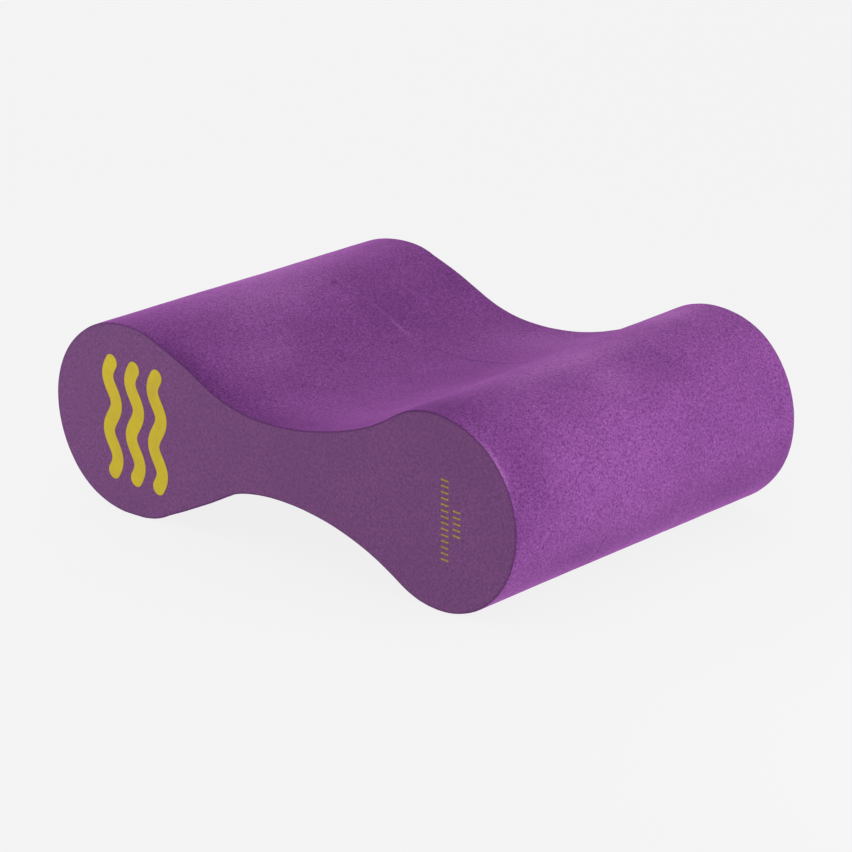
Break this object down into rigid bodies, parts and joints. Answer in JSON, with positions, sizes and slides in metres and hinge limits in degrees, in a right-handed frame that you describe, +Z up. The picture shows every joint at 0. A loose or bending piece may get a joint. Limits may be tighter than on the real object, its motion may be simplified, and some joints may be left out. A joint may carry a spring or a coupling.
{
  "type": "pull buoy",
  "caption": "Hourglass foam float that a swimmer holds between the thighs, laminated from glued slabs, with a flush printed end face.",
  "frame": {"origin": "on the ground plane under the middle of the block, which lies on the undersides of its two round lobes", "axes": "+X along the hourglass profile from the emblem lobe to the batch-mark lobe, +Y across the slabs from the printed end face to the plain one, +Z up"},
  "size_m": [0.24, 0.15, 0.076],
  "materials": {
    "eva_foam": "matt closed-cell EVA foam, sanded on the long surfaces and knife-cut smooth on the end faces",
    "glue": "thin translucent contact adhesive",
    "emblem_ink": "matt yellow transfer print",
    "batch_ink": "thin matt yellow stamp print"
  },
  "bodies": {
    "root": {"front_slab": "eva_foam", "middle_slab": "eva_foam", "rear_slab": "eva_foam", "front_glue_line": "glue", "rear_glue_line": "glue", "wave_emblem": "emblem_ink", "batch_ticks": "batch_ink"}
  },
  "joints": []
}
